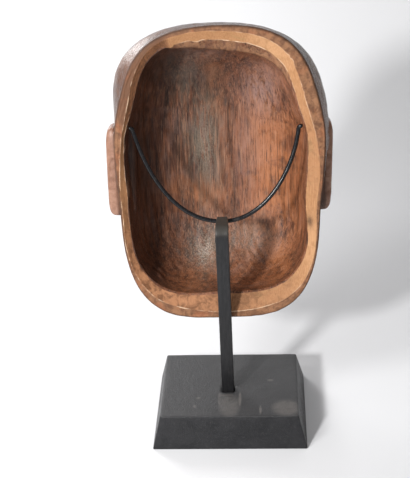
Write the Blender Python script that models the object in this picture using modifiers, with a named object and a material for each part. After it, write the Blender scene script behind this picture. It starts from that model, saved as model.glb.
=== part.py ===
"""A carved wooden mask resting on its display stand: splayed base, bent bar and U-shaped cradle wire.

The face looks along -Y and the open hollow along +Y. The origin is the centre of the base's underside.
Clock angles round the mask are read from behind, in radians: 0 is the crown and pi / 2 is the right.
"""

import math

import bmesh
import bpy
import numpy as np
from mathutils import Matrix, Vector

MM = 0.001

# Stand base
BASE_WIDTH = 0.150
BASE_LENGTH = 0.118
BASE_HEIGHT = 0.034
BASE_SPLAY = 0.0084
BASE_EDGE = 0.0012

# Upright bar
BAR_WIDTH = 0.012
BAR_THICKNESS = 0.008
BAR_BACK = 0.0126
BAR_SIDE_SHIFT = 0.0019
BAR_BEND = 0.010
BAR_TOP = 0.218
BAR_ARM = 0.0246
BAR_TIP_WIDTH = 0.0100
BAR_EDGE = 0.0006
MORTISE_DEPTH = 0.022
MORTISE_PLAY = 0.0012

# Cradle wire
WIRE_DIAMETER = 0.004
WIRE_DROP = 0.0062
WIRE_TIP_CLOCK = math.radians(61)
WIRE_TIP_DEPTH = 0.0080
WIRE_TIP_PLAY = 0.0014
WIRE_HOOK = 0.005
WIRE_ARM_LEANS = (0.12, 0.06)

# Clearance left between pieces that touch
GAP = 0.0003

# Place of the mask: the lowest point of its rim, its lean and its turn on the cradle
CHIN_HEIGHT = 0.1171
MASK_SIDE_SHIFT = 0.0025
CHIN_REST_GAP = 0.0006
MASK_LEAN = math.radians(10)
MASK_TURN = math.radians(1.5)

# Mask, over all
MASK_HEIGHT = 0.282
MASK_WIDTH = 0.194
FACE_DEPTH = 0.092
OUTLINE_POWER = 3.3
CROWN_POWER = 2.4
CHIN_POWER = 3.4
FACE_CENTRE = 0.40

# Hollow
HOLLOW_DEPTH = 0.072
HOLLOW_POWER = 3.0
CHAMFER_DEPTH = 0.0045
LEDGE_SLOPE = 0.7

# Sixteen readings round the clock, in millimetres, from the crown by way of the right side
HANDWORK = [-4.5, -6.4, -5.0, 0.1, -1.2, -5.0, -4.0, 0.8, 1.0, 1.2, -1.8, -3.4, -1.9, -1.5, -7.5, -8.0]
EDGE_ROLL = [2.0, 2.0, 2.0, 2.0, 1.8, 1.8, 1.8, 2.0, 2.0, 2.0, 1.8, 1.0, 1.5, 2.5, 3.0, 2.5]
BULGE = [3.2, 2.5, 11.0, 8.0, 4.5, 3.5, 3.0, 3.0, 3.0, 3.0, 3.0, 3.5, 4.5, 2.0, 16.5, 7.5]
LAND = [4.6, 7.7, 13.7, 9.7, 4.2, 4.1, 3.3, 8.7, 6.7, 9.6, 3.5, 2.4, 3.3, 7.6, 8.9, 4.2]
CHAMFER = [8.7, 9.6, 8.1, 7.6, 11.4, 10.3, 9.3, 13.6, 16.7, 10.6, 6.7, 5.6, 4.7, 2.2, 5.5, 6.7]
LEDGE = [10.0, 8.0, 3.0, 0.2, 0.4, 0.5, 1.0, 1.5, 2.0, 1.5, 1.0, 0.5, 0.4, 0.5, 0.8, 3.0]

# Ears, one lug on each side
EAR_HEIGHT = 0.088
EAR_THICKNESS = 0.026
EAR_REACH = (0.0110, 0.0088)
EAR_TILT = (0.02, -0.03)
EAR_ROOT = 0.018
EAR_LEVEL = 0.488
EAR_DEPTH = 0.043
EAR_POWER = 6.0
EAR_SCOOP = (0.62, 0.80)

# Levels of the face, as shares of the mask's height above the chin
HAIR_LINE = 0.790
BROW_LINE = 0.585
NOSE_ROOT = 0.550
EYE_LINE = 0.505
CHEEK_LINE = 0.390
NOSE_TIP = 0.335
NOSE_BASE = 0.300
MOUTH_LINE = 0.205
CHIN_BALL = 0.090

# Carving of the face, in face units: half an eye's width, with ten across the mask
FACE_UNIT = MASK_WIDTH / 10
FACE_HEIGHT = MASK_HEIGHT / FACE_UNIT
NOSE_RISE = (0.31, 1.34)
NOSE_WIDTH = (0.36, 0.62)
NOSTRIL_RISE = 0.52
EYE_PLACE = 2.0
SOCKET_DEPTH = 0.46
LID_RISE = 0.52
LID_HALF_HEIGHT = 0.57
SLIT_DEPTH = 0.13
BROW_RISE = 0.31
BROW_LENGTH = 3.3
CHEEK_RISE = 0.26
MUZZLE_RISE = 0.31
MOUTH_HALF = 1.55
LIP_RISE = (0.36, 0.41)
LIP_PARTING = 0.18
CHIN_RISE = 0.62
HAIR_RISE = 0.18
HAIR_DROP = 3.1
BAND_WIDTH = 0.82
BAND_RISE = 0.10

# Fineness of the carved surface
ROUND_STEPS = 80
BOWL_RINGS = 10
RIM_RINGS = 5
SIDE_RINGS = 8
FACE_RINGS = 27

for old in list(bpy.data.objects):
    bpy.data.objects.remove(old, do_unlink=True)


def new_collection(name):
    group = bpy.data.collections.new(name)
    bpy.context.scene.collection.children.link(group)
    return group


PIECES = new_collection("mask_on_stand")
HELPERS = new_collection("cutters")


def material(name, colour, roughness, metallic=0.0):
    made = bpy.data.materials.new(name)
    made.use_nodes = True
    shader = made.node_tree.nodes["Principled BSDF"]
    shader.inputs["Base Color"].default_value = (*colour, 1.0)
    shader.inputs["Roughness"].default_value = roughness
    shader.inputs["Metallic"].default_value = metallic
    return made


def piece(name, mesh, finish, group=PIECES):
    made = bpy.data.objects.new(name, mesh)
    mesh.materials.append(finish)
    group.objects.link(made)
    return made


def helper(name, mesh, finish):
    made = piece(name, mesh, finish, HELPERS)
    made.hide_render = True
    made.display_type = "WIRE"
    return made


def bevel(target, width, segments=2):
    """Rounds every sharp edge by the width."""
    rounding = target.modifiers.new("rounded_edges", "BEVEL")
    rounding.width = width
    rounding.segments = segments
    rounding.limit_method = "ANGLE"
    rounding.angle_limit = math.radians(30)
    return rounding


def boolean(target, other, operation):
    cut = target.modifiers.new(other.name, "BOOLEAN")
    cut.operation = operation
    cut.object = other
    cut.solver = "EXACT"
    return cut


def block(low, high):
    """A box mesh between two corners."""
    mesh = bpy.data.meshes.new("block")
    build = bmesh.new()
    bmesh.ops.create_cube(build, size=1.0)
    for vertex in build.verts:
        for axis in range(3):
            vertex.co[axis] = low[axis] if vertex.co[axis] < 0 else high[axis]
    build.to_mesh(mesh)
    build.free()
    return mesh


def around(readings, clock):
    """The readings at any clock angle, by a Catmull-Rom curve that closes on itself."""
    values = np.asarray(readings, float) * MM
    count = len(values)
    place = (np.asarray(clock, float) / (2 * math.pi) * count) % count
    first = np.floor(place).astype(int)
    part = place - first
    before, here, after, beyond = (values[(first + shift) % count] for shift in (-1, 0, 1, 2))
    linear = (after - before) / 2
    square = before - 2.5 * here + 2 * after - beyond / 2
    cube = (beyond - before) / 2 + 1.5 * (here - after)
    return here + part * (linear + part * (square + part * cube))


def hill(across, up, centre_x, centre_z, spread_x, spread_z):
    """A smooth mound, 1 at its centre."""
    return np.exp(-(((across - centre_x) / spread_x) ** 2) - ((up - centre_z) / spread_z) ** 2)


def smooth(value, low, high):
    """0 below low, 1 above high and a smooth climb between."""
    part = np.clip((value - low) / (high - low), 0.0, 1.0)
    return part * part * (3 - 2 * part)


def outline(clock):
    """The rim's outer edge: a superellipse with the carver's small departures from it."""
    side = np.abs(np.sin(clock)) / (MASK_WIDTH / 2)
    rise = np.abs(np.cos(clock)) / (MASK_HEIGHT / 2)
    even = (side**OUTLINE_POWER + rise**OUTLINE_POWER) ** (-1 / OUTLINE_POWER)
    return even + around(HANDWORK, clock)


def chamfer_outer(clock):
    return outline(clock) - around(LAND, clock)


def hollow_lip(clock):
    return chamfer_outer(clock) - around(CHAMFER, clock)


def rounded(turn, power):
    """A point (out, in) of a unit superellipse, as the turn goes from 0 at its side to pi / 2 at its end."""
    side, end = np.cos(turn), np.sin(turn)
    size = (side**power + end**power) ** (-1 / power)
    return side * size, end * size


def hollow_edge(clock):
    """Radius and depth where the cut ledge under the lip meets the hollow's wall."""
    ledge = around(LEDGE, clock)
    return hollow_lip(clock) - ledge, CHAMFER_DEPTH + LEDGE_SLOPE * ledge


def hollow_wall(clock, turn):
    """Radius and depth of the hollow. The turn is 0 at its edge and pi / 2 at the middle of its floor."""
    edge, edge_depth = hollow_edge(clock)
    out, deep = rounded(turn, HOLLOW_POWER)
    return edge * out, edge_depth + (HOLLOW_DEPTH - edge_depth) * deep


def wall_radius(clock, depth):
    """Radius of the hollow at a depth below its edge."""
    edge, edge_depth = hollow_edge(clock)
    deep = (depth - edge_depth) / (HOLLOW_DEPTH - edge_depth)
    return edge * (1 - deep**HOLLOW_POWER) ** (1 / HOLLOW_POWER)


def face_dome(clock, turn):
    """Radius, depth and centre height of the outside. The turn is 0 at the rim and pi / 2 at the front."""
    roll = around(EDGE_ROLL, clock)
    fullness = CROWN_POWER + (CHIN_POWER - CROWN_POWER) * (1 - np.cos(clock)) / 2
    out, deep = rounded(turn, fullness)
    radius = outline(clock) * out + around(BULGE, clock) * np.sin(math.pi * deep)
    centre = MASK_HEIGHT * (0.5 + (FACE_CENTRE - 0.5) * deep**fullness)
    return radius, roll + (FACE_DEPTH - roll) * deep, centre


def nose(across, up):
    """A ridge that widens and climbs to the tip, then ends square at the nostrils."""
    root, tip, base = (share * FACE_HEIGHT for share in (NOSE_ROOT, NOSE_TIP, NOSE_BASE))
    down = np.clip((root - up) / (root - tip), 0.0, 1.0)
    ridge = NOSE_RISE[0] + (NOSE_RISE[1] - NOSE_RISE[0]) * down**1.2
    ridge *= smooth(up, base - 0.15, tip) * smooth(-up, -root - 1.1, -root + 0.2)
    width = NOSE_WIDTH[0] + (NOSE_WIDTH[1] - NOSE_WIDTH[0]) * down
    wings = NOSTRIL_RISE * hill(np.abs(across), up, 0.68, base + 0.36, 0.36, 0.41)
    return ridge * np.exp(-np.abs(across / width) ** 2.6) + wings


def eyes(across, up):
    """A sunk socket on each side, a closed lid domed in it and the slit where the lids meet."""
    level = EYE_LINE * FACE_HEIGHT
    side = np.abs(across)
    socket = hill(side, up, EYE_PLACE - 0.15, level + 0.15, 1.3, 0.77)
    from_middle = side - EYE_PLACE
    lid = 1 - from_middle**2 - ((up - level) / LID_HALF_HEIGHT) ** 2
    slit_up = level - 0.15 - 0.15 * (1 - from_middle**2)
    slit = smooth(lid, -0.25, 0.25) * np.exp(-(((up - slit_up) / 0.1) ** 2))
    return LID_RISE * np.clip(lid, 0.0, 1.0) ** 0.6 - SOCKET_DEPTH * socket - SLIT_DEPTH * slit


def brows(across, up):
    """One raised arch over each eye, lower where the two meet above the nose."""
    side = np.abs(across)
    along = np.clip((side - 0.2) / BROW_LENGTH, 0.0, 1.0)
    arch = BROW_LINE * FACE_HEIGHT - 0.25 + 0.6 * np.sin(math.pi * along) ** 0.8
    height = smooth(-side, -BROW_LENGTH - 0.6, -BROW_LENGTH + 0.3) - 0.45 * np.exp(-((across / 0.36) ** 2))
    return BROW_RISE * height * np.exp(-(((up - arch) / 0.28) ** 2))


def mouth(across, up):
    """Two lips that taper to the corners, on a low mound, with the parting between them."""
    level = MOUTH_LINE * FACE_HEIGHT
    lips = np.clip(1 - (across / MOUTH_HALF) ** 2, 0.0, 1.0) ** 0.6
    bow = 0.08 * np.exp(-((across / 0.26) ** 2))
    upper = LIP_RISE[0] * lips * np.exp(-(((up - level - 0.31 + bow) / 0.23) ** 2))
    lower = LIP_RISE[1] * lips**1.4 * np.exp(-(((up - level + 0.34) / 0.26) ** 2))
    parting = LIP_PARTING * lips * np.exp(-(((up - level) / 0.1) ** 2))
    mound = MUZZLE_RISE * hill(across, up, 0, level + 0.2, 1.86, 1.24)
    groove_level = (MOUTH_LINE + NOSE_BASE) / 2 * FACE_HEIGHT + 0.2
    groove = 0.08 * hill(across, up, 0, groove_level, 0.2, 0.41)
    return mound + upper + lower - parting - groove


def cheeks_and_chin(across, up):
    """A low mound under each eye and a fuller one at the chin, with a dip under the lower lip."""
    cheek = CHEEK_RISE * hill(np.abs(across), up, 2.7, CHEEK_LINE * FACE_HEIGHT, 1.13, 1.03)
    chin = CHIN_RISE * hill(across, up, 0, CHIN_BALL * FACE_HEIGHT, 1.4, 0.98)
    dip = 0.21 * hill(across, up, 0, MOUTH_LINE * FACE_HEIGHT - 0.93, 1.24, 0.28)
    return cheek + chin - dip


def hair(across, up):
    """A raised cap with a band along its front edge, lower at the temples."""
    edge = HAIR_LINE * FACE_HEIGHT - HAIR_DROP * (across / 5) ** 4
    step = HAIR_RISE * smooth(up, edge - 0.08, edge + 0.08)
    behind_band = BAND_RISE * smooth(up, edge + BAND_WIDTH - 0.08, edge + BAND_WIDTH + 0.08)
    return step - behind_band


def face_relief(x, z):
    """How far the carved features stand out of the dome, for points at x across and z above the chin."""
    across, up = x / FACE_UNIT, z / FACE_UNIT
    features = (nose, eyes, brows, mouth, cheeks_and_chin, hair)
    return FACE_UNIT * sum(feature(across, up) for feature in features)


def across_and_up(clock, radius, centre):
    """Mask coordinates of a point seen from behind, where the right side is at -X."""
    return -radius * np.sin(clock), centre + radius * np.cos(clock)


def face_surface(clock, turn):
    """The outside with its carving, raised along the dome's own normal."""
    nudge = 1e-4
    points = []
    for more_clock, more_turn in ((0, 0), (nudge, 0), (0, nudge)):
        at_turn = np.clip(turn - nudge, 0, math.pi / 2) + more_turn
        radius, depth, centre = face_dome(clock + more_clock, at_turn)
        x, z = across_and_up(clock + more_clock, radius, centre)
        points.append(np.stack([x, -depth, z], axis=-1))
    normal = np.cross(points[1] - points[0], points[2] - points[0])
    normal /= np.maximum(np.linalg.norm(normal, axis=-1, keepdims=True), 1e-15)
    relief = face_relief(points[0][..., 0], points[0][..., 2]) * smooth(turn, 0.08, 0.5)
    return points[0] + normal * relief[..., None]


def mask_point(clock, ring):
    """The mask's skin. Rings run from the floor of the hollow, over the rim, to the front of the face."""
    bowl = ring <= BOWL_RINGS
    outside = ring >= BOWL_RINGS + RIM_RINGS
    found = np.zeros(clock.shape + (3,))

    radius, depth = hollow_wall(clock, math.pi / 2 * np.clip(1 - ring / BOWL_RINGS, 0, 1))
    x, z = across_and_up(clock, radius, MASK_HEIGHT / 2)
    found[bowl] = np.stack([x, -depth, z], axis=-1)[bowl]

    roll = around(EDGE_ROLL, clock)
    rim = (
        (hollow_lip(clock), CHAMFER_DEPTH + 0 * roll),
        (chamfer_outer(clock), 0 * roll),
        (outline(clock) - roll, 0 * roll),
        (outline(clock) - 0.3 * roll, 0.3 * roll),
    )
    for step, (radius, depth) in enumerate(rim, start=1):
        here = ring == BOWL_RINGS + step
        x, z = across_and_up(clock, radius, MASK_HEIGHT / 2)
        found[here] = np.stack([x, -depth, z], axis=-1)[here]

    past_rim = ring - BOWL_RINGS - RIM_RINGS
    counts = (0, SIDE_RINGS, SIDE_RINGS + FACE_RINGS)
    turn = np.interp(past_rim, counts, (0, math.pi / 4, math.pi / 2))
    found[outside] = face_surface(clock, turn)[outside]
    return found


def carved_mask():
    """A UV sphere whose rings are carried to the hollow, the rim and the face."""
    rings = BOWL_RINGS + RIM_RINGS + SIDE_RINGS + FACE_RINGS
    build = bmesh.new()
    bmesh.ops.create_uvsphere(build, u_segments=ROUND_STEPS, v_segments=rings, radius=1.0)
    ball = np.array([vertex.co for vertex in build.verts])
    ring = np.round(np.arccos(np.clip(ball[:, 2], -1, 1)) / math.pi * rings)
    clock = np.arctan2(ball[:, 1], ball[:, 0])
    for vertex, place in zip(build.verts, mask_point(clock, ring)):
        vertex.co = place
    build.normal_update()
    bmesh.ops.recalc_face_normals(build, faces=build.faces)
    bmesh.ops.triangulate(build, faces=build.faces)
    bmesh.ops.beautify_fill(build, faces=build.faces, edges=build.edges, method="ANGLE")
    mesh = bpy.data.meshes.new("mask")
    build.to_mesh(mesh)
    build.free()
    mesh.shade_smooth()
    return mesh


def ear_lug(side, reach, tilt):
    """A slab with rounded corners and a scooped outer face. The side is 1 at +X and -1 at -X."""
    build = bmesh.new()
    bmesh.ops.create_uvsphere(build, u_segments=24, v_segments=16, radius=1.0)
    half = ((reach + EAR_ROOT) / 2, EAR_THICKNESS / 2, EAR_HEIGHT / 2)
    middle_x = MASK_WIDTH / 2 + (reach - EAR_ROOT) / 2
    for vertex in build.verts:
        spread = sum(abs(part) ** EAR_POWER for part in vertex.co) ** (-1 / EAR_POWER)
        x, y, z = (part * spread for part in vertex.co)
        scoop = max(0.0, 1 - (z / EAR_SCOOP[1]) ** 2) * max(0.0, 1 - ((y + 0.2) / EAR_SCOOP[0]) ** 2)
        x -= 0.3 * scoop**0.7 * max(0.0, x)
        x, y, z = x * half[0], y * half[1], z * half[2]
        vertex.co = (side * (middle_x + x - tilt * z), y - EAR_DEPTH, EAR_LEVEL * MASK_HEIGHT + z)
    bmesh.ops.recalc_face_normals(build, faces=build.faces)
    mesh = bpy.data.meshes.new("ear")
    build.to_mesh(mesh)
    build.free()
    return mesh


MASK_PLACE = (
    Matrix.Translation((MASK_SIDE_SHIFT, BAR_BACK - BAR_THICKNESS - CHIN_REST_GAP, CHIN_HEIGHT))
    @ Matrix.Rotation(MASK_TURN, 4, "Z")
    @ Matrix.Rotation(MASK_LEAN, 4, "X")
)


def make_mask():
    wood = material("carved_wood", (0.20, 0.095, 0.05), 0.6)
    mask = piece("mask", carved_mask(), wood)
    mask.matrix_world = MASK_PLACE
    for name, side, reach, tilt in zip(("ear_left", "ear_right"), (1, -1), EAR_REACH, EAR_TILT):
        ear = helper(name, ear_lug(side, reach, tilt), wood)
        ear.matrix_world = MASK_PLACE
        boolean(mask, ear, "UNION")
    return mask


def make_base():
    """A block whose top is inset all round, with a mortise for the foot of the bar."""
    paint = material("black_painted_wood", (0.022, 0.022, 0.024), 0.45)
    half_x, half_y = BASE_WIDTH / 2, BASE_LENGTH / 2
    mesh = block((-half_x, -half_y, 0.0), (half_x, half_y, BASE_HEIGHT))
    for vertex in mesh.vertices:
        if vertex.co.z > BASE_HEIGHT / 2:
            vertex.co.x -= math.copysign(BASE_SPLAY, vertex.co.x)
            vertex.co.y -= math.copysign(BASE_SPLAY, vertex.co.y)
    base = piece("stand_base", mesh, paint)
    bevel(base, BASE_EDGE)
    low = (
        BAR_SIDE_SHIFT - BAR_WIDTH / 2 - MORTISE_PLAY,
        BAR_BACK - BAR_THICKNESS - MORTISE_PLAY,
        BASE_HEIGHT - MORTISE_DEPTH,
    )
    high = (
        BAR_SIDE_SHIFT + BAR_WIDTH / 2 + MORTISE_PLAY,
        BAR_BACK + MORTISE_PLAY,
        2 * BASE_HEIGHT,
    )
    boolean(base, helper("mortise", block(low, high), paint), "DIFFERENCE")
    return base


def bar_side():
    """The bar's side view as (y, z) points: up the back, round the bend and along the arm."""
    foot = BASE_HEIGHT - MORTISE_DEPTH + GAP
    bend_y = BAR_BACK - BAR_BEND
    bend_z = BAR_TOP - BAR_BEND
    inner = BAR_BEND - BAR_THICKNESS
    tip = BAR_BACK - BAR_ARM
    turns = np.linspace(0, math.pi / 2, 7)
    outer = [(bend_y + BAR_BEND * math.cos(t), bend_z + BAR_BEND * math.sin(t)) for t in turns]
    hollow = [(bend_y + inner * math.cos(t), bend_z + inner * math.sin(t)) for t in turns[::-1]]
    start = [(BAR_BACK - BAR_THICKNESS, foot), (BAR_BACK, foot)]
    return start + outer + [(tip, BAR_TOP), (tip, BAR_TOP - BAR_THICKNESS)] + hollow


def make_bar():
    """A flat bar bent over at the top, narrowed a little toward the end of its arm."""
    steel = material("black_steel", (0.02, 0.02, 0.022), 0.38, 0.6)
    build = bmesh.new()
    side = [build.verts.new((BAR_SIDE_SHIFT - BAR_WIDTH / 2, y, z)) for y, z in bar_side()]
    face = build.faces.new(side)
    run = bmesh.ops.extrude_face_region(build, geom=[face])
    for made in run["geom"]:
        if isinstance(made, bmesh.types.BMVert):
            made.co.x += BAR_WIDTH
    for vertex in build.verts:
        along = (BAR_BACK - BAR_BEND - vertex.co.y) / (BAR_ARM - BAR_BEND)
        if vertex.co.z > BAR_TOP - BAR_BEND and along > 0:
            width = BAR_WIDTH + (BAR_TIP_WIDTH - BAR_WIDTH) * along
            offset = math.copysign(width / 2, vertex.co.x - BAR_SIDE_SHIFT)
            vertex.co.x = BAR_SIDE_SHIFT + offset
    bmesh.ops.recalc_face_normals(build, faces=build.faces)
    mesh = bpy.data.meshes.new("upright_bar")
    build.to_mesh(mesh)
    build.free()
    bar = piece("upright_bar", mesh, steel)
    bevel(bar, BAR_EDGE, 1)
    return bar


def wire_tip(clock):
    """Where a tip of the wire catches, just short of the hollow's side wall."""
    reach = float(wall_radius(np.array(clock), WIRE_TIP_DEPTH + WIRE_DIAMETER / 2)) - WIRE_TIP_PLAY
    x, z = across_and_up(clock, reach, MASK_HEIGHT / 2)
    return MASK_PLACE @ Vector((float(x), -WIRE_TIP_DEPTH, float(z)))


def make_wire():
    """A round rod bent to a U across the end of the arm, with each tip turned out toward the wood."""
    steel = material("black_rod", (0.02, 0.02, 0.022), 0.3, 0.6)
    radius = WIRE_DIAMETER / 2
    low = Vector((BAR_SIDE_SHIFT, BAR_BACK - BAR_ARM - radius - GAP, BAR_TOP - WIRE_DROP))
    curve = bpy.data.curves.new("cradle_wire", "CURVE")
    curve.dimensions = "3D"
    curve.bevel_depth = radius
    curve.bevel_resolution = 2
    curve.use_fill_caps = True
    curve.resolution_u = 12
    bend = curve.splines.new("BEZIER")
    bend.bezier_points.add(4)
    left, left_hook, middle, right_hook, right = bend.bezier_points
    middle.co = low
    arms = ((left, left_hook, -WIRE_TIP_CLOCK), (right, right_hook, WIRE_TIP_CLOCK))
    for (tip, hook, clock), lean in zip(arms, WIRE_ARM_LEANS):
        end = wire_tip(clock)
        span = end - low
        outward = Vector((span.x, 0, 0)).normalized()
        elbow = end - WIRE_HOOK * (0.8 * outward + Vector((0, 0, 0.6)))
        steep = Vector((lean * span.x, 0.4 * span.y, 0.43 * span.z))
        inner, outer = ("handle_right", "handle_left") if tip == left else ("handle_left", "handle_right")
        hook.co = elbow
        setattr(hook, inner, elbow - steep)
        setattr(hook, outer, elbow + 0.05 * steep)
        tip.co = end
        setattr(tip, inner, end - 0.5 * WIRE_HOOK * outward)
        setattr(tip, outer, end + 0.5 * WIRE_HOOK * outward)
        setattr(middle, outer, low + Vector((0.54 * span.x, 0, 0)))
    for point in bend.bezier_points:
        point.handle_left_type = "FREE"
        point.handle_right_type = "FREE"
    return piece("cradle_wire", curve, steel)


make_mask()
make_base()
make_bar()
make_wire()
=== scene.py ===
"""Looks of a carved wooden mask on its display stand.

The mask hangs on a U-shaped wire at the end of a bent upright bar, which stands in a black splayed base.
Metres, +Z up: the face looks along -Y, and the open hollow and the camera are toward +Y.
"""

import math

import bpy
import numpy as np
from mathutils import Matrix, Vector


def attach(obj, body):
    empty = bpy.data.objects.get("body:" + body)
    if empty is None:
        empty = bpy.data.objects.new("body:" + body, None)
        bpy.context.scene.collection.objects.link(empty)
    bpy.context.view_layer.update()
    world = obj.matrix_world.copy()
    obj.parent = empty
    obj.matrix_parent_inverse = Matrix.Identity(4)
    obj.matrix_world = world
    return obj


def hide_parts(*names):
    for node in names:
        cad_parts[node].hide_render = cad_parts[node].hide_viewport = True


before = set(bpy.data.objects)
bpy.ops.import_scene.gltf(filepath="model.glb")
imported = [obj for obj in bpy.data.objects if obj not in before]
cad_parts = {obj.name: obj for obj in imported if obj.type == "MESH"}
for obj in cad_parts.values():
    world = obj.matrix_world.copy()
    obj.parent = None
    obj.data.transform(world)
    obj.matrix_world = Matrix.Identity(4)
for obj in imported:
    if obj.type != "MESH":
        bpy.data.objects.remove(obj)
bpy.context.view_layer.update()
scene = bpy.context.scene

# Camera: behind the mask and above it, a little to the right of the stand's middle line, looking down
# into the hollow. The pitch, yaw and roll are those at which the base and the bar line up as seen.
CAMERA_PLACE = (-0.04122, 0.87950, 0.70635)
CAMERA_YAW = -0.06739
CAMERA_PITCH = 0.52028
CAMERA_ROLL = -0.04928
FOCAL_PIXELS = 1100.0
FRAME_HEIGHT = 478
SENSOR = 36.0
FARTHEST_SEEN = 20.0


def camera_turn(yaw, pitch, roll):
    """Columns are the camera's right, up and back axes: yaw about Z, then pitch down, then roll."""
    right = Vector((-math.cos(yaw), math.sin(yaw), 0.0))
    level = Vector((-math.sin(yaw), -math.cos(yaw), 0.0))
    ahead = level * math.cos(pitch) - Vector((0.0, 0.0, math.sin(pitch)))
    above = level * math.sin(pitch) + Vector((0.0, 0.0, math.cos(pitch)))
    across = right * math.cos(roll) + above * math.sin(roll)
    upward = above * math.cos(roll) - right * math.sin(roll)
    return Matrix((across, upward, -ahead)).transposed()


lens = bpy.data.cameras.new("camera")
lens.sensor_fit = "AUTO"
lens.sensor_width = SENSOR
lens.lens = FOCAL_PIXELS * SENSOR / FRAME_HEIGHT
lens.clip_end = FARTHEST_SEEN
camera = bpy.data.objects.new("camera", lens)
scene.collection.objects.link(camera)
camera.location = CAMERA_PLACE
camera.rotation_euler = camera_turn(CAMERA_YAW, CAMERA_PITCH, CAMERA_ROLL).to_euler()
scene.camera = camera

# Mask: one block of brown hardwood, hollowed from behind with a gouge. A strip round the hollow is cut
# back to raw ochre wood, and the rest is dark from handling, outside and in. It rests on wire and bar.
MM = 0.001
MASK_PLACE = (0.0025, 0.0040, 0.1171)
MASK_LEAN = math.radians(10)
MASK_TURN = math.radians(1.5)
MASK_HEIGHT = 0.282
MASK_WIDTH = 0.194
FACE_DEPTH = 0.092
OUTLINE_POWER = 3.3
CROWN_POWER = 2.4
CHIN_POWER = 3.4
FACE_CENTRE = 0.40
HOLLOW_DEPTH = 0.072
HOLLOW_POWER = 3.0
CHAMFER_DEPTH = 0.0045
LEDGE_SLOPE = 0.7

# Sixteen readings round the clock in millimetres, from the crown by way of the right side, as seen from
# behind: handwork on the outline, the rolled edge, the bulge past the rim, and three widths on the rim
HANDWORK = [-4.5, -6.4, -5.0, 0.1, -1.2, -5.0, -4.0, 0.8, 1.0, 1.2, -1.8, -3.4, -1.9, -1.5, -7.5, -8.0]
EDGE_ROLL = [2.0, 2.0, 2.0, 2.0, 1.8, 1.8, 1.8, 2.0, 2.0, 2.0, 1.8, 1.0, 1.5, 2.5, 3.0, 2.5]
BULGE = [3.2, 2.5, 11.0, 8.0, 4.5, 3.5, 3.0, 3.0, 3.0, 3.0, 3.0, 3.5, 4.5, 2.0, 16.5, 7.5]
LAND = [4.6, 7.7, 13.7, 9.7, 4.2, 4.1, 3.3, 8.7, 6.7, 9.6, 3.5, 2.4, 3.3, 7.6, 8.9, 4.2]
CHAMFER = [8.7, 9.6, 8.1, 7.6, 11.4, 10.3, 9.3, 13.6, 16.7, 10.6, 6.7, 5.6, 4.7, 2.2, 5.5, 6.7]
LEDGE = [10.0, 8.0, 3.0, 0.2, 0.4, 0.5, 1.0, 1.5, 2.0, 1.5, 1.0, 0.5, 0.4, 0.5, 0.8, 3.0]

# Levels of the face as shares of the height above the chin, and carving in half eye widths
HAIR_LINE = 0.790
BROW_LINE = 0.585
NOSE_ROOT = 0.550
EYE_LINE = 0.505
CHEEK_LINE = 0.390
NOSE_TIP = 0.335
NOSE_BASE = 0.300
MOUTH_LINE = 0.205
CHIN_BALL = 0.090
FACE_UNIT = MASK_WIDTH / 10
FACE_HEIGHT = MASK_HEIGHT / FACE_UNIT
EYE_PLACE = 2.0
BROW_LENGTH = 3.3
MOUTH_HALF = 1.55

# Fineness of the skin, ring by ring from the hollow's floor to the front of the face
CLOCK_STEPS = 384
BOWL_RINGS = 74
LEDGE_RINGS = 6
CHAMFER_RINGS = 14
LAND_RINGS = 8
ROLL_RINGS = 5
SIDE_RINGS = 36
FRONT_RINGS = 86


def ripples(points, size, seed, waves=18):
    """Sine waves about one size long in random directions, added up: an even unrest of about -1 to 1."""
    draw = np.random.default_rng(seed)
    headings = draw.normal(size=(waves, 3))
    headings /= np.linalg.norm(headings, axis=1, keepdims=True)
    pitch = 2 * math.pi / (size * draw.uniform(0.7, 1.5, waves))
    phases = draw.uniform(0, 2 * math.pi, waves)
    waved = np.sin(points @ (headings * pitch[:, None]).T + phases).sum(axis=-1)
    return waved * math.sqrt(2 / waves) / 1.4


def smooth(value, low, high):
    """0 below low, 1 above high, and 3 t^2 - 2 t^3 between."""
    part = np.clip((value - low) / (high - low), 0.0, 1.0)
    return part * part * (3 - 2 * part)


def hill(across, up, centre_x, centre_z, spread_x, spread_z):
    """A mound of height 1: exp of minus the two distances squared, each over its spread."""
    return np.exp(-(((across - centre_x) / spread_x) ** 2) - ((up - centre_z) / spread_z) ** 2)


def around(readings, clock):
    """The readings at any clock angle, in metres, by a Catmull-Rom curve that closes on itself."""
    values = np.asarray(readings, float) * MM
    count = len(values)
    place = (np.asarray(clock, float) / (2 * math.pi) * count) % count
    first = np.floor(place).astype(int)
    part = place - first
    before, here, after, beyond = (values[(first + shift) % count] for shift in (-1, 0, 1, 2))
    linear = (after - before) / 2
    square = before - 2.5 * here + 2 * after - beyond / 2
    cube = (beyond - before) / 2 + 1.5 * (here - after)
    return here + part * (linear + part * (square + part * cube))


def outline(clock):
    """Rim edge: the superellipse |sin / half width|^p + |cos / half height|^p = r^-p, and the handwork."""
    side = np.abs(np.sin(clock)) / (MASK_WIDTH / 2)
    rise = np.abs(np.cos(clock)) / (MASK_HEIGHT / 2)
    return (side**OUTLINE_POWER + rise**OUTLINE_POWER) ** (-1 / OUTLINE_POWER) + around(HANDWORK, clock)


def rounded(turn, power):
    """The point (out, in) of a unit superellipse in the direction (cos turn, sin turn)."""
    side, end = np.cos(turn), np.sin(turn)
    size = (side**power + end**power) ** (-1 / power)
    return side * size, end * size


def across_and_up(clock, radius, centre):
    """x = -r sin and z = centre + r cos, because the clock is read from behind."""
    return -radius * np.sin(clock), centre + radius * np.cos(clock)


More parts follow.
